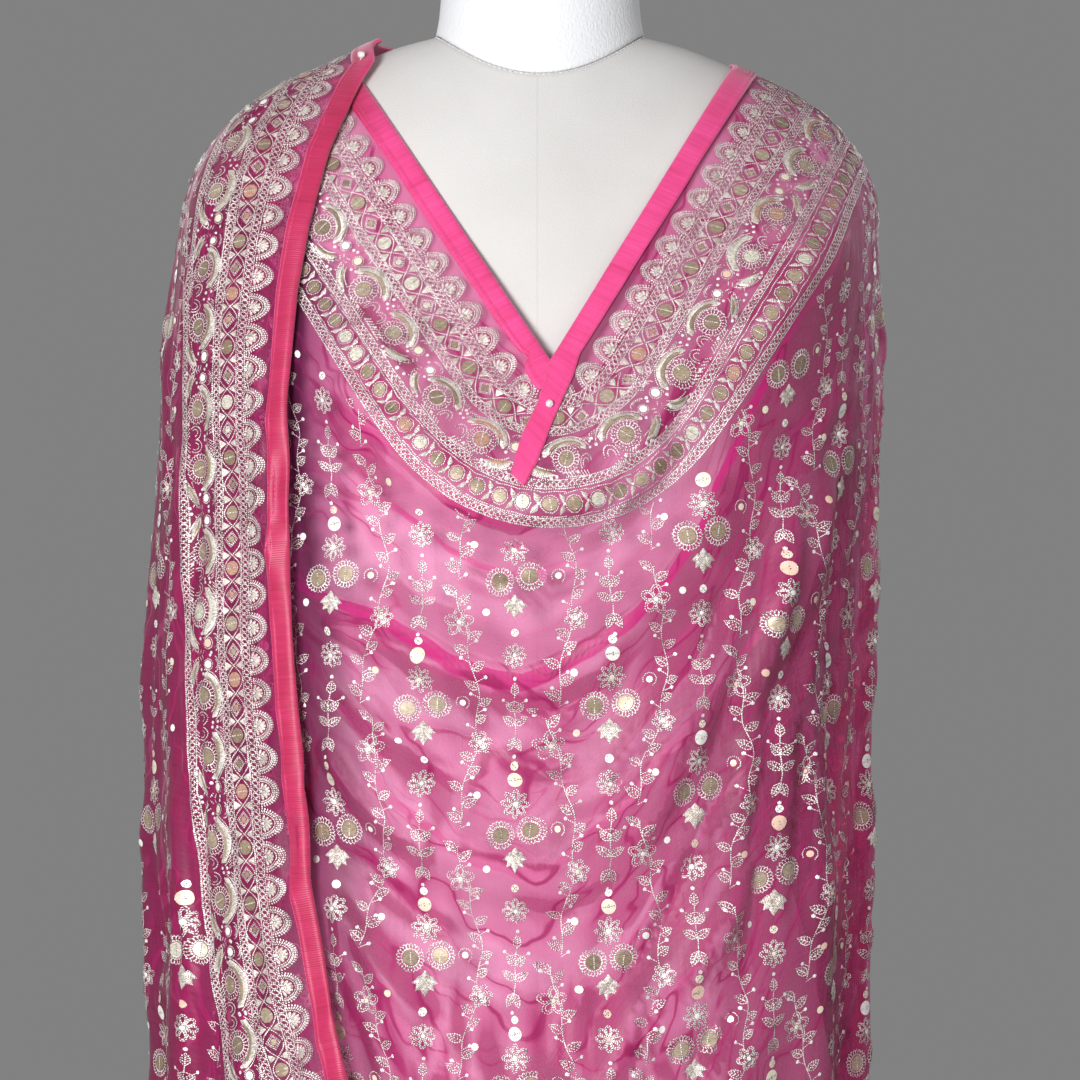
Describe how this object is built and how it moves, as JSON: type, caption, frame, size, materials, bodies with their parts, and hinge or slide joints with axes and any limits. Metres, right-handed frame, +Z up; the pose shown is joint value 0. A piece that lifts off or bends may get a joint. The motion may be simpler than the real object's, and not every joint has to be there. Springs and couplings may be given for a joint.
{
  "type": "embroidered dupatta stole draped on a limbless dress form with a stand",
  "caption": "Sheer bordered stole pinned in a V across a limbless dress form, wound once round the shoulders, its free end hanging down the front.",
  "frame": {"origin": "centre of the stand's underside, on the floor", "axes": "+Z up, -Y towards the wearer's front, +X towards the viewer's right in the picture"},
  "size_m": [0.4181, 0.38, 1.548],
  "materials": {
    "organza": "sheer crisp organza with metallic thread embroidery and sequins",
    "binding": "ribbed satin ribbon",
    "jersey": "smooth stretched jersey",
    "felt": "matte felt",
    "stand": "satin"
  },
  "bodies": {
    "root": {"front_stretch": "organza", "side_stretch": "organza", "back_stretch": "organza", "end_stretch": "organza", "left_v_binding": "binding", "right_v_binding": "binding", "tuck_tail": "binding", "side_top_binding": "binding", "back_top_binding": "binding", "end_top_binding": "binding", "end_binding": "binding", "front_hem_binding": "binding", "side_hem_binding": "binding", "back_hem_binding": "binding", "end_hem_binding": "binding", "torso": "jersey", "neck": "felt", "stand_base": "stand", "stand_pole": "stand", "stand_collar": "stand"}
  },
  "joints": []
}
